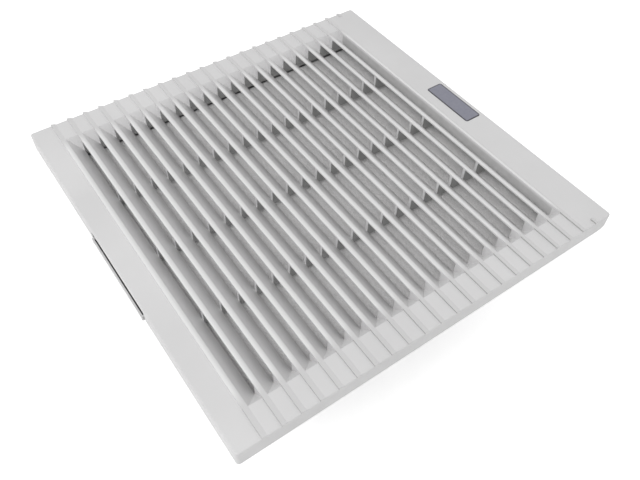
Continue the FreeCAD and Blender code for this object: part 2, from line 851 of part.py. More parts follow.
def shaft_low():
    return rear_bearing_z - bearing_gap - 2 * circlip_wall


def rotor_shaft():
    body = disc(shaft_radius, shaft_low(), bell_inner_z + bell_wall / 2)
    groove = tube(shaft_radius + overshoot, shaft_radius - circlip_rise / 2,
                  circlip_low(), circlip_low() + circlip_wall)
    return body.cut(groove)


def circlip_low():
    return rear_bearing_z - bearing_gap - circlip_wall


def shaft_circlip():
    ring = tube(shaft_radius + circlip_rise, shaft_radius - circlip_rise / 2,
                circlip_low(), circlip_low() + circlip_wall)
    gap = block(0, 2 * shaft_radius, -circlip_gap / 2, circlip_gap / 2,
                circlip_low() - overshoot, circlip_low() + circlip_wall + overshoot)
    return ring.cut(gap)


def blade_section(radius, chord, pitch):
    """Cambered thin plate in the plane square to the radius."""
    tilt = math.radians(pitch)
    half = chord / 2
    edge = blade_edge / 2

    def place(along, up):
        return V(radius, along * math.cos(tilt) - up * math.sin(tilt),
                 blade_z + along * math.sin(tilt) + up * math.cos(tilt))

    upper = Part.Arc(place(-half, edge), place(0, blade_camber + blade_thickness / 2),
                     place(half, edge)).toShape()
    lower = Part.Arc(place(half, -edge), place(0, blade_camber - blade_thickness / 2),
                     place(-half, -edge)).toShape()
    return Part.Wire([upper, Part.makeLine(place(half, edge), place(half, -edge)),
                      lower, Part.makeLine(place(-half, -edge), place(-half, edge))])


def impeller():
    tip = fan_radius - tip_gap
    inside = hub_radius - 2 * hub_wall
    middle = (inside + tip) / 2
    blade = Part.makeLoft([
        blade_section(inside, root_chord, root_pitch),
        blade_section(middle, (root_chord + tip_chord) / 2, (root_pitch + tip_pitch) / 2 - twist_ease),
        blade_section(tip + hub_wall, tip_chord, tip_pitch)], True, False)
    swept = disc(tip, fan_rear, box_rear).cut(disc(hub_radius - hub_wall / 2, fan_rear, box_rear))
    blade = blade.common(swept)
    hub = tube(hub_radius, bell_radius, bell_low, hub_high)
    blades = [turned(blade, 360 * i / blade_count) for i in range(blade_count)]
    return joined([hub] + blades)


def finger_guard():
    rings = []
    for i in range(guard_ring_count):
        rings.append(Part.makeTorus(guard_first_ring + i * guard_ring_step, wire_radius,
                                    V(0, 0, guard_ring_z), Z_AXIS))
    spokes = []
    for i in range(4):
        reach = guard_boss_circle - screw_head_radius - seat_gap
        spoke = Part.makeCylinder(wire_radius, reach - guard_first_ring,
                                  V(guard_first_ring, 0, guard_spoke_z), X_AXIS)
        eyelet = disc(guard_boss_radius, fan_rear - eyelet_wall, fan_rear, guard_boss_circle, 0)
        whole = spoke.fuse(eyelet).cut(screw_hole(guard_boss_circle, 0, fan_rear - 2 * eyelet_wall,
                                                  fan_rear + overshoot))
        spokes.append(turned(whole, 90 * i))
    return joined(spokes + rings)


def guard_screws():
    length = eyelet_wall + 2 * boss_height - 2 * seat_gap
    return [screw(x, y, fan_rear - eyelet_wall, length, 1) for x, y in four_ways(guard_boss_circle)]


def terminal_outline(inset):
    """Square with its inner corner cut off, drawn in by a wall."""
    low = terminal_inner + inset
    high = terminal_edge - inset
    cut = box_corner_cut - inset * (2 - math.sqrt(2))
    return [(low, high), (high, high), (high, low), (low + cut, low), (low, low + cut)]


def cover_screw_places():
    near = terminal_wall + post_radius / 2
    return [(terminal_edge - near, terminal_inner + near + post_shift),
            (terminal_inner + near + post_shift, terminal_edge - near)]


def terminal_screw_places():
    near = terminal_wall + post_radius + content_gap
    return [(terminal_edge - near, terminal_edge - near),
            (terminal_inner + box_side / 2, terminal_inner + box_side / 2)]


def terminal_box():
    body = prism_z(terminal_outline(0), terminal_rear, box_rear)
    space = prism_z(terminal_outline(terminal_wall), terminal_rear - overshoot,
                    box_rear - terminal_wall)
    body = body.cut(space)
    shell = prism_z(terminal_outline(0), terminal_rear, box_rear)
    posts = [disc(post_radius, terminal_rear, box_rear - terminal_wall / 2, x, y).common(shell)
             for x, y in cover_screw_places()]
    body = joined([body] + posts)
    cuts = [screw_hole(x, y, terminal_rear - overshoot, terminal_rear + 2 * boss_height)
            for x, y in cover_screw_places()]
    cuts += [screw_hole(x, y, box_rear - 2 * terminal_wall, box_rear + overshoot)
             for x, y in terminal_screw_places()]
    cuts.append(Part.makeCylinder(gland_thread_radius, 2 * terminal_wall + overshoot,
                                  V(terminal_inner - overshoot, gland_y, gland_z), X_AXIS))
    entry = Part.makeCylinder(lead_radius + running_fit, 4 * terminal_wall,
                              V(lead_entry - 2 * terminal_wall, 0, gland_z), X_AXIS)
    cuts.append(turned(entry, diagonal))
    return body.cut(cuts)


def terminal_cover():
    body = prism_z(terminal_outline(0), terminal_rear - cover_wall, terminal_rear)
    return body.cut([screw_hole(x, y, terminal_rear - 2 * cover_wall, terminal_rear + overshoot)
                     for x, y in cover_screw_places()])


def cover_screws():
    length = cover_wall + 2 * boss_height - 2 * seat_gap
    return [screw(x, y, terminal_rear - cover_wall, length, 1) for x, y in cover_screw_places()]


def box_screws():
    length = terminal_wall + rear_wall - seat_gap
    return [screw(x, y, box_rear - terminal_wall, length, 1) for x, y in terminal_screw_places()]


def block_place():
    """Middle of the terminal block's foot."""
    return (terminal_edge - terminal_wall - 2 * content_gap - block_width / 2,
            terminal_inner + box_side / 2)


def terminal_places():
    x, y = block_place()
    step = block_length / terminal_count
    return [(x, y + (i - (terminal_count - 1) / 2) * step) for i in range(terminal_count)]


def terminal_block():
    x, y = block_place()
    floor = box_rear - terminal_wall
    body = block(x - block_width / 2, x + block_width / 2, y - block_length / 2, y + block_length / 2,
                 floor - block_height, floor)
    cuts = []
    for place_x, place_y in terminal_places():
        cuts.append(screw_hole(place_x, place_y, floor - block_height - overshoot,
                               floor - block_height + terminal_screw_depth))
        cuts.append(Part.makeCylinder(wire_hole_radius, wire_hole_depth + overshoot,
                                      V(x - block_width / 2 - overshoot, place_y,
                                        floor - wire_hole_height), X_AXIS))
    return body.cut(cuts)


def terminal_screws():
    seat = box_rear - terminal_wall - block_height
    return [screw(x, y, seat, terminal_screw_depth - seat_gap, 1) for x, y in terminal_places()]


def run_capacitor():
    x = terminal_screw_places()[1][0] - screw_head_radius - content_gap - capacitor_radius
    y = terminal_inner + box_side / 2 - capacitor_shift
    z = box_rear - terminal_wall - capacitor_radius - running_fit
    can = rod_y(capacitor_radius, x, z, y, y + capacitor_length)
    ends = [e for e in can.Edges if e.BoundBox.YLength < tolerance]
    return can.makeFillet(capacitor_edge, ends)


def hex_rod(flat, x0, x1):
    """Six-sided rod along the gland's axis, with a flat side up."""
    radius = flat / math.sqrt(3)
    points = []
    for i in range(6):
        turn = math.radians(60 * i)
        points.append((gland_y + radius * math.cos(turn), gland_z + radius * math.sin(turn)))
    return prism_x(points, x0, x1)


def gland_rod(radius, x0, x1):
    return Part.makeCylinder(radius, x1 - x0, V(x0, gland_y, gland_z), X_AXIS)


def gland_hex_end():
    return terminal_inner - gland_hex_length


def gland_body():
    tip = gland_hex_end() - gland_cap_length + gland_cap_wall + seat_gap
    inside = terminal_inner + terminal_wall + locknut_wall + content_gap
    body = joined([hex_rod(gland_flat, gland_hex_end(), terminal_inner),
                   gland_rod(gland_thread_radius, tip, inside)])
    pocket = gland_bore / 2 + gland_seal_wall
    return body.cut([gland_rod(gland_bore / 2 + gland_seal_step, tip - overshoot, inside + overshoot),
                     gland_rod(pocket, tip - overshoot, gland_hex_end())])


def gland_seal():
    tip = gland_hex_end() - gland_cap_length + gland_cap_wall + seat_gap
    sleeve = gland_rod(gland_bore / 2 + gland_seal_wall, tip, gland_hex_end())
    return sleeve.cut(gland_rod(gland_bore / 2, tip - overshoot, gland_hex_end() + overshoot))


def gland_nut():
    outer = gland_hex_end() - gland_cap_length
    body = hex_rod(gland_flat, outer, gland_hex_end())
    rounding = gland_rod(gland_flat / math.sqrt(3) - gland_nut_fit, outer, gland_hex_end())
    body = body.common(rounding)
    return body.cut([gland_rod(gland_thread_radius + gland_nut_fit, outer + gland_cap_wall,
                               gland_hex_end() + overshoot),
                     gland_rod(gland_outlet, outer - overshoot, outer + 2 * gland_cap_wall)])


def gland_locknut():
    near = terminal_inner + terminal_wall
    nut = hex_rod(gland_flat, near, near + locknut_wall)
    return nut.cut(gland_rod(gland_thread_radius, near - overshoot, near + locknut_wall + overshoot))


def motor_lead():
    """Lead along one arm's groove, up outside the ring and into the terminal box."""
    start = base_radius - seat_wall + seat_gap
    end = lead_entry + 2 * terminal_wall
    rise = lead_rise_radius
    bend = lead_bend
    half_root = bend * (1 - math.sqrt(0.5))
    run_1 = Part.makeLine(V(start, 0, lead_z), V(rise - bend, 0, lead_z))
    turn_1 = Part.Arc(V(rise - bend, 0, lead_z), V(rise - half_root, 0, lead_z + half_root),
                      V(rise, 0, lead_z + bend)).toShape()
    run_2 = Part.makeLine(V(rise, 0, lead_z + bend), V(rise, 0, gland_z - bend))
    turn_2 = Part.Arc(V(rise, 0, gland_z - bend), V(rise + half_root, 0, gland_z - half_root),
                      V(rise + bend, 0, gland_z)).toShape()
    run_3 = Part.makeLine(V(rise + bend, 0, gland_z), V(end, 0, gland_z))
    path = Part.Wire([run_1, turn_1, run_2, turn_2, run_3])
    section = Part.Wire([Part.makeCircle(lead_radius, V(start, 0, lead_z), X_AXIS)])
    return turned(path.makePipeShell([section], True, True), diagonal)


def save_all():
    os.makedirs("parts", exist_ok=True)
    save("louvre_grille", louvre_grille())
    save("badge_plate", badge_plate())
    save("latch_lever", latch_lever())
    save("latch_grip_pad", latch_grip_pad())
    save_group("latch_pins", latch_pins())
    save_group("hinge_pins", hinge_pins())
    save("mounting_frame", mounting_frame())
    save("panel_seal", panel_seal())
    save("filter_grid", filter_grid())
    save_group("grid_screws", grid_screws())
    save("filter_mat", filter_mat())
    save("fan_housing", fan_housing())
    save_group("fan_screws", fan_screws())
    save("motor_base", motor_base())
    save_group("motor_screws", motor_screws())
    save("stator_core", stator_core())
    save_group("stator_coils", stator_coils())
    save("front_bearing", bearing(front_bearing_z))
    save("rear_bearing", bearing(rear_bearing_z))
    save("rotor_bell", rotor_bell())
    save("rotor_cage", rotor_cage())
    save("rotor_shaft", rotor_shaft())
    save("shaft_circlip", shaft_circlip())
    save("impeller", impeller())
    save("finger_guard", finger_guard())
    save_group("guard_screws", guard_screws())
    save("terminal_box", terminal_box())
    save("terminal_cover", terminal_cover())
    save_group("cover_screws", cover_screws())
    save_group("box_screws", box_screws())
    save("terminal_block", terminal_block())
    save_group("terminal_screws", terminal_screws())
    save("run_capacitor", run_capacitor())
    save("gland_body", gland_body())
    save("gland_seal", gland_seal())
    save("gland_nut", gland_nut())
    save("gland_locknut", gland_locknut())
    save("motor_lead", motor_lead())


save_all()
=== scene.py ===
import math
import random

import bmesh
import bpy
from mathutils import Matrix, Vector, noise


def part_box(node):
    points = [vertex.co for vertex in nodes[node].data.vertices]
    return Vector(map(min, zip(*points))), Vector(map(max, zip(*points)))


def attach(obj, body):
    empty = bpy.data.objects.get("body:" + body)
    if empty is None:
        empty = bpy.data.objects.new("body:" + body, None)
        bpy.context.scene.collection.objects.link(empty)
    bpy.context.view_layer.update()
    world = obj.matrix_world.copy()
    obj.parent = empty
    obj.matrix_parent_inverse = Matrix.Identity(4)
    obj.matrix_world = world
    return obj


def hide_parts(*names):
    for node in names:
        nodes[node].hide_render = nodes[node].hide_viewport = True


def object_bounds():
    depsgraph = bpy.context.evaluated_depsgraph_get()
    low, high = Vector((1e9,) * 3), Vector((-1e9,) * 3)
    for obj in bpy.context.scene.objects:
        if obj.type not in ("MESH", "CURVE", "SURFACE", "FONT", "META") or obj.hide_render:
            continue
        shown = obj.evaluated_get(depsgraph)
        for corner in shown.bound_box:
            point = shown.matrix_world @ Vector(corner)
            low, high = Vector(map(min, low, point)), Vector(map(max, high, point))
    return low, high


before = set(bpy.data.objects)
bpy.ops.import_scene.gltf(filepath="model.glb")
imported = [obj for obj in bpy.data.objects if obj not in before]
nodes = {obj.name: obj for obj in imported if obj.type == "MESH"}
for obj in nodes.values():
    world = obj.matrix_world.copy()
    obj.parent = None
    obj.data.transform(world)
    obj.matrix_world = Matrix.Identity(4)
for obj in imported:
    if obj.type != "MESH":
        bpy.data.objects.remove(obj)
cad_low, cad_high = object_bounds()
mm = 0.001

# Mounting frame: the moulded box and flange that go into the panel and hook behind it.
# Light grey impact-proof plastic from an injection mould, with the fine matt grain
# that spark erosion leaves on the tool.
frame_grey = (0.718, 0.714, 0.716)
frame_grey_shade = (0.676, 0.672, 0.674)
frame_roughness = 0.46
mould_cloud = 60 * mm
mould_gloss_patch = 9 * mm
mould_smoother = 0.05
mould_rougher = 0.07
mould_specular = 0.45
mould_grain = 0.35 * mm
mould_grain_height = 0.012 * mm
mould_edge_radius = 0.35 * mm
edge_samples = 6
patch_low = 0.3
patch_high = 0.7


def shader_of(finish):
    return finish.node_tree.nodes["Principled BSDF"]


def set_even(finish, socket, value):
    """What is the same all over the surface is set on the shader itself."""
    shader_of(finish).inputs[socket].default_value = value


def plain_finish(name, colour, roughness, metal=0.0):
    """A material with one shader, which the other helpers add detail to."""
    finish = bpy.data.materials.new(name)
    finish.use_nodes = True
    set_even(finish, "Base Color", (*colour, 1))
    set_even(finish, "Roughness", roughness)
    set_even(finish, "Metallic", metal)
    return finish


def add_node(finish, kind, **sockets):
    made = finish.node_tree.nodes.new(kind)
    for name, value in sockets.items():
        made.inputs[name].default_value = value
    return made


def wire(finish, source, target):
    finish.node_tree.links.new(source, target)


def place_on(finish, stretch=(1, 1, 1)):
    """Where a point lies on the piece, in metres, drawn out or pressed together along an axis."""
    where = add_node(finish, "ShaderNodeTexCoord")
    mapping = add_node(finish, "ShaderNodeMapping", Scale=stretch)
    wire(finish, where.outputs["Object"], mapping.inputs["Vector"])
    return mapping.outputs["Vector"]


def speckle(finish, size, detail=2.0, stretch=(1, 1, 1)):
    """Uneven patches of about one size."""
    made = add_node(finish, "ShaderNodeTexNoise", Scale=1 / size, Detail=detail)
    wire(finish, place_on(finish, stretch), made.inputs["Vector"])
    return made.outputs["Fac"]


def spread(finish, share, low, high, start=patch_low, end=patch_high):
    """Turns a share, such as patches, into a value that goes from low to high."""
    made = add_node(finish, "ShaderNodeMapRange")
    made.inputs["From Min"].default_value = start
    made.inputs["From Max"].default_value = end
    made.inputs["To Min"].default_value = low
    made.inputs["To Max"].default_value = high
    wire(finish, share, made.inputs["Value"])
    return made.outputs["Result"]


def tint(finish, share, dark, light):
    """Colours the surface from one shade to another, by patches."""
    ramp = add_node(finish, "ShaderNodeValToRGB")
    stops = ramp.color_ramp.elements
    for stop, position, colour in zip(stops, (patch_low, patch_high), (dark, light)):
        stop.position = position
        stop.color = (*colour, 1)
    wire(finish, share, ramp.inputs["Fac"])
    wire(finish, ramp.outputs["Color"], shader_of(finish).inputs["Base Color"])


def gloss_by(finish, share, smooth, rough):
    """Makes the surface smoother and rougher by patches."""
    wire(finish, spread(finish, share, smooth, rough), shader_of(finish).inputs["Roughness"])


def raise_surface(finish, share, height, strength=1.0, under=None):
    """Fine relief on a surface, over rounded edges where there are any."""
    bump = add_node(finish, "ShaderNodeBump", Strength=strength, Distance=height)
    wire(finish, share, bump.inputs["Height"])
    if under is not None:
        wire(finish, under, bump.inputs["Normal"])
    wire(finish, bump.outputs["Normal"], shader_of(finish).inputs["Normal"])


def rounded_edges(finish, radius):
    """Light catches the small rounding that each edge of a moulding has."""
    bevel = add_node(finish, "ShaderNodeBevel", Radius=radius)
    bevel.samples = edge_samples
    return bevel.outputs["Normal"]


def dress(finish, *names):
    """Gives one finish to solids of the frame."""
    for name in names:
        nodes[name].data.materials.clear()
        nodes[name].data.materials.append(finish)


def moulded_grey(name, colour, shade, roughness):
    """Grained grey plastic, a little cloudy in its colour and in its gloss."""
    finish = plain_finish(name, colour, roughness)
    tint(finish, speckle(finish, mould_cloud, detail=3.0), dark=shade, light=colour)
    gloss_by(finish, speckle(finish, mould_gloss_patch),
             smooth=roughness - mould_smoother, rough=roughness + mould_rougher)
    raise_surface(finish, speckle(finish, mould_grain), mould_grain_height, strength=0.6,
                  under=rounded_edges(finish, mould_edge_radius))
    set_even(finish, "Specular IOR Level", mould_specular)
    return finish


frame_plastic = moulded_grey("frame_plastic", frame_grey, frame_grey_shade, frame_roughness)
dress(frame_plastic, "mounting_frame")

# Panel seal: a strip of foamed rubber under the flange, which keeps water out of the cut-out.
# It is stamped from black sheet, so its cut edges show open pores.
seal_black = (0.025, 0.025, 0.026)
seal_black_pore = (0.012, 0.012, 0.013)
seal_black_skin = (0.045, 0.045, 0.046)
seal_pore = 0.6 * mm
seal_pore_depth = 0.25 * mm

seal_foam = plain_finish("seal_foam", seal_black, roughness=0.92)
seal_pores = speckle(seal_foam, seal_pore, detail=4.0)
tint(seal_foam, seal_pores, dark=seal_black_pore, light=seal_black_skin)
raise_surface(seal_foam, seal_pores, seal_pore_depth)
dress(seal_foam, "panel_seal")

# Fan housing: the ring, its flange and the four arms that carry the motor.
# Die-cast light metal under black lacquer, with the slight orange peel of a sprayed coat.
lacquer_black = (0.022, 0.022, 0.024)
lacquer_worn = (0.036, 0.036, 0.038)
lacquer_cloud = 25 * mm
lacquer_gloss_patch = 14 * mm
lacquer_peel = 1.6 * mm
lacquer_peel_height = 0.05 * mm
lacquer_edge_radius = 0.6 * mm

cast_lacquer = plain_finish("cast_lacquer", lacquer_black, roughness=0.42)
tint(cast_lacquer, speckle(cast_lacquer, lacquer_cloud, detail=4.0), dark=lacquer_black, light=lacquer_worn)
gloss_by(cast_lacquer, speckle(cast_lacquer, lacquer_gloss_patch), smooth=0.36, rough=0.52)
raise_surface(cast_lacquer, speckle(cast_lacquer, lacquer_peel, detail=3.0), lacquer_peel_height,
              strength=0.7, under=rounded_edges(cast_lacquer, lacquer_edge_radius))
set_even(cast_lacquer, "Coat Weight", 0.15)
set_even(cast_lacquer, "Coat Roughness", 0.3)
dress(cast_lacquer, "fan_housing")

# Motor base: the foot and bearing tube that stand on the arms, in bare cast light metal.
# The casting is left as it comes from the die, dull and a little cloudy.
casting_grey = (0.58, 0.58, 0.59)
casting_grey_dull = (0.47, 0.47, 0.48)
casting_grey_bright = (0.62, 0.62, 0.63)
casting_cloud = 8 * mm
casting_gloss_patch = 3 * mm
casting_skin = 0.9 * mm
casting_skin_height = 0.04 * mm

cast_bare = plain_finish("cast_bare", casting_grey, roughness=0.44, metal=1.0)
tint(cast_bare, speckle(cast_bare, casting_cloud, detail=5.0),
     dark=casting_grey_dull, light=casting_grey_bright)
gloss_by(cast_bare, speckle(cast_bare, casting_gloss_patch), smooth=0.36, rough=0.55)
raise_surface(cast_bare, speckle(cast_bare, casting_skin, detail=3.0), casting_skin_height, strength=0.8)
dress(cast_bare, "motor_base")

# Stator core and rotor cage: stacks of thin stamped steel sheets pressed on their seats.
# The sheets' edges show as fine lines round the stack, with a bluish temper film.
# The circlip on the shaft is stamped from the same steel.
steel_grey = (0.30, 0.30, 0.32)
steel_grey_gap = (0.19, 0.19, 0.21)
steel_grey_edge = (0.36, 0.36, 0.39)
sheet_pitch = 0.5 * mm
sheet_groove = 0.08 * mm
wave_length = math.pi / 10   # of a wave texture at a scale of 1


def fine_lines(finish, kind, pitch, waver):
    """Lines at an even pitch, as bands one above the other or as rings round the shaft's axis."""
    made = add_node(finish, "ShaderNodeTexWave", Scale=wave_length / pitch, Distortion=waver)
    made.wave_type = kind
    made.bands_direction = "Z"
    made.rings_direction = "Z"
    wire(finish, place_on(finish), made.inputs["Vector"])
    return made.outputs["Fac"]


stacked_steel = plain_finish("stacked_steel", steel_grey, roughness=0.38, metal=1.0)
sheet_lines = fine_lines(stacked_steel, "BANDS", sheet_pitch, waver=0.4)
tint(stacked_steel, sheet_lines, dark=steel_grey_gap, light=steel_grey_edge)
raise_surface(stacked_steel, sheet_lines, sheet_groove, strength=0.8)
dress(stacked_steel, "stator_core", "rotor_cage", "shaft_circlip")

# Stator coils: the winding heads, enamelled copper wire laid in lobes and dipped in varnish.
# Each wire shows as a round thread that runs round the head.
copper = (0.62, 0.25, 0.10)
copper_gap = (0.30, 0.09, 0.03)
copper_bright = (0.72, 0.32, 0.14)
coil_wire = 0.7 * mm
coil_wire_height = 0.3 * mm

wound_copper = plain_finish("wound_copper", copper, roughness=0.30, metal=0.85)
wire_turns = fine_lines(wound_copper, "RINGS", coil_wire, waver=1.2)
tint(wound_copper, wire_turns, dark=copper_gap, light=copper_bright)
raise_surface(wound_copper, wire_turns, coil_wire_height, strength=0.9)
set_even(wound_copper, "Coat Weight", 0.5)
dress(wound_copper, "stator_coils")

# Bearings, shaft and pins: hardened steel, ground to size and polished.
# The grinding leaves very fine marks, all drawn out in one direction.
ground_grey = (0.60, 0.60, 0.61)
grinding_mark = 0.4 * mm
grinding_mark_depth = 0.01 * mm
grinding_stretch = (1, 0.05, 1)

ground_steel = plain_finish("ground_steel", ground_grey, roughness=0.22, metal=1.0)
grinding = speckle(ground_steel, grinding_mark, detail=4.0, stretch=grinding_stretch)
gloss_by(ground_steel, grinding, smooth=0.16, rough=0.32)
raise_surface(ground_steel, grinding, grinding_mark_depth, strength=0.5)
dress(ground_steel, "front_bearing", "rear_bearing", "rotor_shaft", "hinge_pins", "latch_pins")

# Rotor bell: the deep-drawn steel cup that turns round the stator, in black stoving paint.
# The paint rounds the drawn edges, and dries with a faint ripple under its gloss.
bell_black = (0.030, 0.030, 0.032)
bell_black_deep = (0.024, 0.024, 0.026)
bell_black_thin = (0.040, 0.040, 0.042)
bell_cloud = 18 * mm
bell_ripple = 1.2 * mm
bell_ripple_height = 0.02 * mm
bell_edge_radius = 0.4 * mm

bell_paint = plain_finish("bell_paint", bell_black, roughness=0.36)
tint(bell_paint, speckle(bell_paint, bell_cloud, detail=3.0), dark=bell_black_deep, light=bell_black_thin)
raise_surface(bell_paint, speckle(bell_paint, bell_ripple), bell_ripple_height, strength=0.6,
              under=rounded_edges(bell_paint, bell_edge_radius))
set_even(bell_paint, "Coat Weight", 0.25)
dress(bell_paint, "rotor_bell")

# Impeller: seven twisted blades on a hub that is pressed over the bell.
# Glass-filled black plastic, where the melt leaves faint streaks and a dull skin.
blade_black = (0.020, 0.020, 0.021)
blade_black_deep = (0.014, 0.014, 0.015)
blade_black_streak = (0.034, 0.034, 0.036)
blade_streak = 1.1 * mm
blade_streak_stretch = (1, 1, 0.25)
blade_skin = 0.5 * mm
blade_skin_height = 0.02 * mm
blade_edge_radius = 0.4 * mm

blade_plastic = plain_finish("blade_plastic", blade_black, roughness=0.55)
streaks = speckle(blade_plastic, blade_streak, detail=5.0, stretch=blade_streak_stretch)
tint(blade_plastic, streaks, dark=blade_black_deep, light=blade_black_streak)
gloss_by(blade_plastic, streaks, smooth=0.48, rough=0.66)
raise_surface(blade_plastic, speckle(blade_plastic, blade_skin, detail=3.0), blade_skin_height,
              strength=0.7, under=rounded_edges(blade_plastic, blade_edge_radius))
dress(blade_plastic, "impeller")

# Finger guard: round rings of drawn steel wire, welded on four spokes that end in eyelets.
# Bright nickel plating, a shade duller in places.
nickel = (0.63, 0.62, 0.60)
nickel_dull = (0.50, 0.49, 0.47)
nickel_bright = (0.68, 0.67, 0.65)
nickel_patch = 6 * mm
drawing_mark = 0.8 * mm
drawing_mark_depth = 0.01 * mm

plated_wire = plain_finish("plated_wire", nickel, roughness=0.20, metal=1.0)
plating = speckle(plated_wire, nickel_patch, detail=4.0)
tint(plated_wire, plating, dark=nickel_dull, light=nickel_bright)
gloss_by(plated_wire, plating, smooth=0.15, rough=0.30)
raise_surface(plated_wire, speckle(plated_wire, drawing_mark), drawing_mark_depth, strength=0.5)
dress(plated_wire, "finger_guard")

# Screws: pan heads with a cross recess, zinc-plated and passivated.
# The film is uneven, from bluish to faint yellow, and so is its gloss.
zinc = (0.60, 0.60, 0.58)
zinc_bluish = (0.50, 0.51, 0.54)
zinc_yellow = (0.64, 0.61, 0.53)
zinc_patch = 1.8 * mm
zinc_crystal = 0.3 * mm
zinc_crystal_height = 0.01 * mm

zinc_plate = plain_finish("zinc_plate", zinc, roughness=0.34, metal=1.0)
zinc_film = speckle(zinc_plate, zinc_patch, detail=4.0)
tint(zinc_plate, zinc_film, dark=zinc_bluish, light=zinc_yellow)
gloss_by(zinc_plate, zinc_film, smooth=0.28, rough=0.44)
raise_surface(zinc_plate, speckle(zinc_plate, zinc_crystal), zinc_crystal_height, strength=0.5)
dress(zinc_plate, "grid_screws", "fan_screws", "motor_screws", "guard_screws", "cover_screws",
      "box_screws", "terminal_screws")

# Terminal box and its cover: a dark grey moulding screwed to the rear wall of the frame.
# Coarser grain than the frame, because it is never seen on the door's outside.
box_dark = (0.040, 0.042, 0.045)
box_dark_deep = (0.034, 0.036, 0.039)
box_dark_pale = (0.050, 0.052, 0.056)
box_cloud = 30 * mm
box_grain = 0.5 * mm
box_grain_height = 0.03 * mm
box_edge_radius = 0.5 * mm

box_grey = plain_finish("box_grey", box_dark, roughness=0.52)
tint(box_grey, speckle(box_grey, box_cloud, detail=3.0), dark=box_dark_deep, light=box_dark_pale)
raise_surface(box_grey, speckle(box_grey, box_grain), box_grain_height, strength=0.7,
              under=rounded_edges(box_grey, box_edge_radius))
dress(box_grey, "terminal_box", "terminal_cover")

# Terminal block: the moulded block in the terminal box that clamps the supply wires.
# Natural polyamide, slightly see-through and waxy, with a warm tone.
nylon = (0.70, 0.66, 0.55)
nylon_deep = (0.66, 0.61, 0.49)
nylon_pale = (0.73, 0.70, 0.60)
nylon_cloud = 7 * mm
nylon_grain = 0.5 * mm
nylon_grain_height = 0.01 * mm
nylon_light_depth = (1.2 * mm, 0.9 * mm, 0.6 * mm)

natural_nylon = plain_finish("natural_nylon", nylon, roughness=0.34)
tint(natural_nylon, speckle(natural_nylon, nylon_cloud), dark=nylon_deep, light=nylon_pale)
raise_surface(natural_nylon, speckle(natural_nylon, nylon_grain), nylon_grain_height, strength=0.5)
set_even(natural_nylon, "Subsurface Weight", 0.15)
set_even(natural_nylon, "Subsurface Radius", nylon_light_depth)
dress(natural_nylon, "terminal_block")

# Run capacitor: a round can in white plastic that lies beside the terminal block.
# Smooth moulded skin with a soft gloss.
can_pale = (0.74, 0.74, 0.71)
can_pale_shade = (0.70, 0.70, 0.67)
can_pale_bright = (0.76, 0.76, 0.73)
can_cloud = 12 * mm
can_ripple = 0.8 * mm
can_ripple_height = 0.01 * mm

can_white = plain_finish("can_white", can_pale, roughness=0.30)
tint(can_white, speckle(can_white, can_cloud), dark=can_pale_shade, light=can_pale_bright)
raise_surface(can_white, speckle(can_white, can_ripple), can_ripple_height, strength=0.4)
dress(can_white, "run_capacitor")

# Cable gland: a hexagon body with a lock nut inside the box and a cap nut that squeezes the seal.
# Mid-grey moulded plastic. The seal is soft black rubber, and so is the grip pad of the latch.
gland_grey = (0.27, 0.28, 0.29)
gland_grey_shade = (0.24, 0.25, 0.26)
gland_roughness = 0.42
rubber_black = (0.020, 0.020, 0.021)
rubber_black_deep = (0.015, 0.015, 0.016)
rubber_black_bloom = (0.032, 0.032, 0.033)
rubber_bloom = 3 * mm
rubber_grain = 0.35 * mm
rubber_grain_height = 0.02 * mm

gland_plastic = moulded_grey("gland_plastic", gland_grey, gland_grey_shade, gland_roughness)
dress(gland_plastic, "gland_body", "gland_nut", "gland_locknut")
soft_rubber = plain_finish("soft_rubber", rubber_black, roughness=0.78)
tint(soft_rubber, speckle(soft_rubber, rubber_bloom, detail=4.0),
     dark=rubber_black_deep, light=rubber_black_bloom)
raise_surface(soft_rubber, speckle(soft_rubber, rubber_grain), rubber_grain_height, strength=0.7)
dress(soft_rubber, "gland_seal", "latch_grip_pad")

# Motor lead: a round sheathed lead that lies in the groove of one arm and goes into the box.
# Black plastic sheath, drawn smooth, with a soft shine.
sheath_black = (0.018, 0.018, 0.019)
sheath_black_deep = (0.014, 0.014, 0.015)
sheath_black_pale = (0.026, 0.026, 0.027)
sheath_cloud = 5 * mm
sheath_ripple = 1.0 * mm
sheath_ripple_height = 0.02 * mm

lead_sheath = plain_finish("lead_sheath", sheath_black, roughness=0.40)
tint(lead_sheath, speckle(lead_sheath, sheath_cloud, detail=3.0),
     dark=sheath_black_deep, light=sheath_black_pale)
raise_surface(lead_sheath, speckle(lead_sheath, sheath_ripple), sheath_ripple_height, strength=0.5)
dress(lead_sheath, "motor_lead")

# Filter grid: the open tray that carries the filter mat, screwed to the shelf in the frame.
# The same light grey plastic as the frame.
dress(frame_plastic, "filter_grid")

# Filter mat: a thick pad of bonded polyester fibre, cut from the roll and laid in the tray.
# Its faces are uneven and its cut sides round off, with loose fibres on the top.
fleece_white = (0.905, 0.898, 0.896)
fleece_shade = (0.790, 0.783, 0.781)
fleece_tangle_size = 1.1 * mm
fleece_tangle_height = 0.6 * mm
mat_low, mat_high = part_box("filter_mat")
mat_middle = (mat_low.z + mat_high.z) / 2
mat_half_height = (mat_high.z - mat_low.z) / 2
mat_spread = 0.7 * mm
mat_half = (mat_high.x - mat_low.x) / 2 + mat_spread
mat_side_rounding = 0.5 * mm
mat_side_power = 3
mat_steps = 120
mat_lumps = ((22 * mm, 0.45 * mm), (7 * mm, 0.40 * mm), (2.6 * mm, 0.28 * mm))   # width and height
mat_lump_shift = 7.3   # takes the lumps of the two faces from different places
fibre_seed = 11
fibre_count = 1100
fibre_radius = 0.075 * mm
fibre_step = 2.6 * mm
fibre_points = 8
fibre_curl = 0.55
fibre_least_lift = 0.2   # of the radius


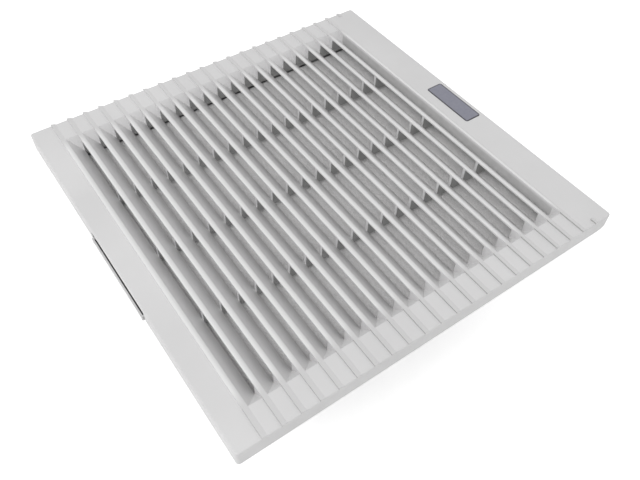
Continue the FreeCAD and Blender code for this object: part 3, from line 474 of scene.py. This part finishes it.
def add_object(name, data):
    made = bpy.data.objects.new(name, data)
    bpy.context.scene.collection.objects.link(made)
    return made


def mat_sink(x, y, side):
    """How far the mat's face lies inside its highest level at a place. The two faces differ."""
    depth = 0.0
    for width, height in mat_lumps:
        lump = noise.noise(Vector((x / width, y / width, side * mat_lump_shift)))
        depth += height * (0.5 + 0.5 * lump)
    return depth


def mat_face_z(x, y, side):
    """Level of the upper face, where side is 1, or of the lower one, where it is -1."""
    edge = mat_half - max(abs(x), abs(y))
    near = min(edge / mat_side_rounding, 1.0)
    fullness = (1 - (1 - near) ** mat_side_power) ** (1 / mat_side_power)
    return mat_middle + side * fullness * (mat_half_height - mat_sink(x, y, side))


def mat_line(step):
    """Place of a grid line across the mat. The lines crowd together towards the cut sides."""
    quarter = math.pi / 2
    return mat_half * math.sin(quarter * math.sin(quarter * (2 * step / mat_steps - 1)))


def fleece_mat():
    """A closed pad, whose two faces share the points of the rim."""
    grid = bmesh.new()
    rows = {}
    for side in (-1, 1):
        for i in range(mat_steps + 1):
            for j in range(mat_steps + 1):
                on_rim = i in (0, mat_steps) or j in (0, mat_steps)
                if on_rim and side > 0:
                    rows[side, i, j] = rows[-1, i, j]
                    continue
                x = mat_line(i)
                y = mat_line(j)
                rows[side, i, j] = grid.verts.new((x, y, mat_face_z(x, y, side)))
    for side in (-1, 1):
        for i in range(mat_steps):
            for j in range(mat_steps):
                corners = [rows[side, i, j], rows[side, i + 1, j],
                           rows[side, i + 1, j + 1], rows[side, i, j + 1]]
                grid.faces.new(corners if side > 0 else corners[::-1])
    mesh = bpy.data.meshes.new("fleece_mat")
    grid.to_mesh(mesh)
    grid.free()
    mesh.shade_smooth()
    return add_object("fleece_mat", mesh)


def loose_fibres():
    """Single fibres that wander over the upper face and never rise above the mat's box."""
    chance = random.Random(fibre_seed)
    curve = bpy.data.curves.new("mat_fibres", "CURVE")
    curve.dimensions = "3D"
    curve.bevel_depth = fibre_radius
    curve.bevel_resolution = 1
    curve.resolution_u = 2
    reach = mat_half - mat_side_rounding - fibre_points * fibre_step
    for _ in range(fibre_count):
        x = chance.uniform(-reach, reach)
        y = chance.uniform(-reach, reach)
        heading = chance.uniform(0, 2 * math.pi)
        bend = chance.uniform(-fibre_curl, fibre_curl)
        lift = chance.uniform(fibre_least_lift, 1.0) * fibre_radius
        spline = curve.splines.new("NURBS")
        spline.points.add(fibre_points - 1)
        for point in spline.points:
            top = mat_face_z(x, y, 1) + lift
            point.co = (x, y, min(top, mat_high.z - fibre_radius), 1)
            x += fibre_step * math.cos(heading)
            y += fibre_step * math.sin(heading)
            heading += bend + chance.uniform(-fibre_curl, fibre_curl) / 2
        spline.order_u = 3
        spline.use_endpoint_u = True
    return add_object("mat_fibres", curve)


fleece = plain_finish("fleece", fleece_white, roughness=0.95)
fleece_tangle = speckle(fleece, fleece_tangle_size, detail=6.0)
tint(fleece, fleece_tangle, dark=fleece_shade, light=fleece_white)
raise_surface(fleece, fleece_tangle, fleece_tangle_height, strength=0.9)
set_even(fleece, "Sheen Weight", 0.25)
filter_pad = fleece_mat()
filter_pad.data.materials.append(fleece)
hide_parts("filter_mat")
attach(filter_pad, "housing")
pad_fibres = loose_fibres()
pad_fibres.data.materials.append(fleece)
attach(pad_fibres, "housing")

# Louvre grille: the hinged front, one moulding with its slats, crest lines and ribs.
# The same plastic as the frame. A pale band painted along the crest lines over the field stands for
# the highlight they catch, and painted shade lies on the ribs, on the walls round the slots and in the step
# beside the crest lines on the lower border.
# pale colour painted on the crest tops, a painted highlight
painted_crest_highlight = (0.900, 0.896, 0.898)
crest_highlight_depth = 1.2 * mm   # how far down the painted highlight reaches
crest_highlight_full = 0.3 * mm   # how far down it is strongest
crest_half_length = 138 * mm
crest_fade = 12 * mm
# grey painted as shade on the ribs, the slots' end walls, the last wall and the border steps
painted_shade_grey = (0.420, 0.420, 0.415)
shade_none = 1.6 * mm   # depth below the crest lines at which the painted shade starts
shade_full = 3.6 * mm   # depth from which it is darkest
shade_half_length = 132 * mm
shade_facing = 0.9   # least part of a face's direction that points along the louvres
shade_patch = 6 * mm
shade_least = 0.75
slot_count = 19
field_half = 130.15 * mm
louvre_pitch = 2 * field_half / slot_count
last_wall_width = 0.4 * mm
last_wall_shade = 0.7   # of the painted shade on the ribs
step_height = 1.3 * mm
# a thin line of painted shade in the step beside each crest line on the lower border
step_shade_width = 0.05 * mm
step_shade_none = 0.15 * mm
step_shade_full = 0.45 * mm
step_shade_start = 139 * mm   # from the middle to where the lower border begins
crest_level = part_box("louvre_grille")[1].z


def calculate(finish, operation, *terms):
    """A number worked out from others, each a plain one or what another node gives."""
    made = add_node(finish, "ShaderNodeMath")
    made.operation = operation
    for socket, term in zip(made.inputs, terms):
        if isinstance(term, float):
            socket.default_value = term
        else:
            wire(finish, term, socket)
    return made.outputs[0]


def away_from(finish, value, middle=0.0):
    """How far a value lies from a middle, to either side."""
    return calculate(finish, "ABSOLUTE", calculate(finish, "SUBTRACT", value, middle))


def all_of(finish, share, *others):
    """A share that is there only where each of several is."""
    for other in others:
        share = calculate(finish, "MULTIPLY", share, other)
    return share


def axes_of(finish):
    """A point's place on the piece as three numbers, in metres."""
    axes = add_node(finish, "ShaderNodeSeparateXYZ")
    wire(finish, place_on(finish), axes.inputs["Vector"])
    return axes.outputs


def paint_over(finish, share, colour):
    """Lays another colour over what the surface has so far, by a share from 0 to 1."""
    base = shader_of(finish).inputs["Base Color"]
    mixed = add_node(finish, "ShaderNodeMixRGB", Color2=(*colour, 1))
    wire(finish, share, mixed.inputs["Fac"])
    wire(finish, base.links[0].from_socket, mixed.inputs["Color1"])
    wire(finish, mixed.outputs["Color"], base)


def below_crests(finish, up, none, full):
    """Grows with the depth below the crest lines, from 0 at one depth to 1 at another."""
    return spread(finish, up, 1.0, 0.0, crest_level - full, crest_level - none)


def crest_highlight_share(finish):
    """The top of each crest line, where a highlight is painted, fading out past the ends of the field."""
    _, along, up = axes_of(finish)
    near_crest = spread(finish, up, 0.0, 1.0, crest_level - crest_highlight_depth, crest_level - crest_highlight_full)
    over_field = spread(finish, away_from(finish, along), 1.0, 0.0,
                        crest_half_length - crest_fade, crest_half_length)
    return all_of(finish, near_crest, over_field)


def slot_painted_shade(finish):
    """Painted shade, in patches, on the ribs, on the slots' end walls and on the wall beside the last slot.
    """
    across, along, up = axes_of(finish)
    surface = add_node(finish, "ShaderNodeNewGeometry")
    facing = add_node(finish, "ShaderNodeSeparateXYZ")
    wire(finish, surface.outputs["True Normal"], facing.inputs["Vector"])
    rib_face = calculate(finish, "GREATER_THAN", away_from(finish, facing.outputs["Y"]), shade_facing)
    last_wall = calculate(finish, "LESS_THAN", away_from(finish, across, field_half), last_wall_width)
    last_wall = calculate(finish, "MULTIPLY", last_wall, last_wall_shade)
    return all_of(finish,
                  spread(finish, speckle(finish, shade_patch), shade_least, 1.0),
                  calculate(finish, "MAXIMUM", last_wall, rib_face),
                  calculate(finish, "LESS_THAN", away_from(finish, along), shade_half_length),
                  below_crests(finish, up, shade_none, shade_full))


def step_painted_shade(finish):
    """Painted shade in the small step beside each crest line on the lower border."""
    across, along, up = axes_of(finish)
    half_pitch = louvre_pitch / 2
    from_step = calculate(finish, "PINGPONG", calculate(finish, "ADD", across, half_pitch), half_pitch)
    return all_of(finish,
                  below_crests(finish, up, step_shade_none, step_shade_full),
                  calculate(finish, "LESS_THAN", from_step, step_shade_width),
                  calculate(finish, "GREATER_THAN", up, crest_level - step_height),
                  calculate(finish, "LESS_THAN", along, -step_shade_start))


grille_plastic = moulded_grey("grille_plastic", frame_grey, frame_grey_shade, frame_roughness)
# paints the highlight on the crest tops
paint_over(grille_plastic, crest_highlight_share(grille_plastic), painted_crest_highlight)
# paints shade on the ribs, the slots' end walls and the wall beside the last slot
paint_over(grille_plastic, slot_painted_shade(grille_plastic), painted_shade_grey)
# paints shade in the step beside each crest line on the lower border
paint_over(grille_plastic, step_painted_shade(grille_plastic), painted_shade_grey)
dress(grille_plastic, "louvre_grille")

# Latch lever: the finger tab below the border, which turns on two pins in the grille.
# The same light grey plastic, with a dark rubber pad in its channel.
dress(frame_plastic, "latch_lever")

# Badge plate: a small blank plate with rounded corners, let into the border on the hinge side.
# Blue-grey film with a satin face; a dark band painted round its edge stands for the shadow in the gap
# round the plate.
film_grey = (0.223, 0.226, 0.280)
film_grey_light = (0.251, 0.253, 0.304)
# dark colour painted round the plate's edge, a painted shadow of the gap round it
painted_gap_shadow = (0.060, 0.060, 0.072)
gap_shadow_width = 1.0 * mm
film_cloud = 3 * mm
film_grain = 0.3 * mm
film_grain_height = 0.005 * mm
badge_low, badge_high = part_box("badge_plate")


def inside_outline(finish, low, high):
    """How far a point lies inside a plate's outline, in metres."""
    axes = axes_of(finish)
    rooms = []
    for axis in range(2):
        middle = (low[axis] + high[axis]) / 2
        across = away_from(finish, axes[axis], middle)
        rooms.append(calculate(finish, "SUBTRACT", high[axis] - middle, across))
    return calculate(finish, "MINIMUM", *rooms)


badge_film = plain_finish("badge_film", film_grey, roughness=0.38)
tint(badge_film, speckle(badge_film, film_cloud, detail=5.0), dark=film_grey, light=film_grey_light)
badge_inside = inside_outline(badge_film, badge_low, badge_high)
# paints the shadow of the gap round the plate along its edge
paint_over(badge_film, calculate(badge_film, "LESS_THAN", badge_inside, gap_shadow_width), painted_gap_shadow)
raise_surface(badge_film, speckle(badge_film, film_grain), film_grain_height, strength=0.5)
dress(badge_film, "badge_plate")

# Studio: a wide pale floor under soft light, in front of plain white.
# One large soft lamp stands high on the latch side, and a weak one fills the front.
# The floor is clear from below, so that the rear of the fan can be looked at from there.
floor_half = 4.0
floor_pale = (0.86, 0.86, 0.86)
floor_glow = 0.62
room_light = 0.62
room_white = (1, 1, 1, 1)
lamp_target = Vector((0, 0, 0))
key_place = Vector((-0.95, -0.15, 1.45))
key_size = 1.0
key_power = 11.5
fill_place = Vector((0.9, -1.3, 0.9))
fill_size = 1.2
fill_power = 0.8


def background_ray(finish):
    """1 where the eye, a reflection or glass looks at the background, and otherwise 0."""
    path = add_node(finish, "ShaderNodeLightPath")
    seen = path.outputs["Is Camera Ray"]
    for other in ("Is Glossy Ray", "Is Transmission Ray"):
        seen = calculate(finish, "MAXIMUM", seen, path.outputs[other])
    return seen


def choose_shader(finish, share, first, second):
    """Shows one shader where the share is 0 and another where it is 1."""
    choice = add_node(finish, "ShaderNodeMixShader")
    wire(finish, share, choice.inputs["Fac"])
    wire(finish, first, choice.inputs[1])
    wire(finish, second, choice.inputs[2])
    return choice.outputs["Shader"]


def floor_finish():
    finish = bpy.data.materials.new("floor_pale")
    finish.use_nodes = True
    finish.node_tree.nodes.remove(shader_of(finish))
    matt = add_node(finish, "ShaderNodeBsdfDiffuse", Color=(*floor_pale, 1))
    glow = add_node(finish, "ShaderNodeEmission")
    wire(finish, calculate(finish, "MULTIPLY", background_ray(finish), floor_glow), glow.inputs["Strength"])
    both = add_node(finish, "ShaderNodeAddShader")
    wire(finish, matt.outputs["BSDF"], both.inputs[0])
    wire(finish, glow.outputs["Emission"], both.inputs[1])
    surface = add_node(finish, "ShaderNodeNewGeometry")
    clear = add_node(finish, "ShaderNodeBsdfTransparent")
    one_sided = choose_shader(finish, surface.outputs["Backfacing"],
                              both.outputs["Shader"], clear.outputs["BSDF"])
    wire(finish, one_sided, finish.node_tree.nodes["Material Output"].inputs["Surface"])
    return finish


def pale_floor():
    mesh = bpy.data.meshes.new("floor")
    level = cad_low.z
    corners = [(-floor_half, -floor_half, level), (floor_half, -floor_half, level),
               (floor_half, floor_half, level), (-floor_half, floor_half, level)]
    mesh.from_pydata(corners, [], [(0, 1, 2, 3)])
    mesh.materials.append(floor_finish())
    add_object("floor", mesh)


def white_room():
    """Soft even light on the object, in front of plain white."""
    room = bpy.data.worlds.new("room")
    room.use_nodes = True
    soft = room.node_tree.nodes["Background"]
    soft.inputs["Color"].default_value = room_white
    soft.inputs["Strength"].default_value = room_light
    white = add_node(room, "ShaderNodeBackground", Color=room_white, Strength=1.0)
    shown = choose_shader(room, background_ray(room),
                          soft.outputs["Background"], white.outputs["Background"])
    wire(room, shown, room.node_tree.nodes["World Output"].inputs["Surface"])
    bpy.context.scene.world = room


def soft_lamp(name, place, size, power):
    lamp = bpy.data.lights.new(name, "AREA")
    lamp.size = size
    lamp.energy = power
    holder = add_object(name, lamp)
    holder.location = place
    holder.rotation_euler = (lamp_target - place).to_track_quat("-Z", "Y").to_euler()


pale_floor()
white_room()
soft_lamp("key_lamp", key_place, key_size, key_power)
soft_lamp("fill_lamp", fill_place, fill_size, fill_power)
bpy.context.scene.view_settings.view_transform = "Standard"

# Camera: it looks down on the latch side and the front, as close as the photograph was taken.
# Its place and tilt were worked out from the frame's four corners.
camera_place = Vector((-0.2127, -0.3043, 0.3905))
camera_view = Vector((0.3744, 0.5054, -0.7774))
camera_up = Vector((0.4383, 0.6424, 0.6287))
camera_lens = 38.24
camera_sensor = 36.0
camera_near = 10 * mm

camera_data = bpy.data.cameras.new("camera")
camera_data.lens = camera_lens
camera_data.sensor_width = camera_sensor
camera_data.clip_start = camera_near
camera = add_object("camera", camera_data)
camera_right = camera_view.cross(camera_up)
camera_turn = Matrix((camera_right, camera_up, -camera_view)).transposed()
camera.matrix_world = Matrix.Translation(camera_place) @ camera_turn.to_4x4()
bpy.context.scene.camera = camera
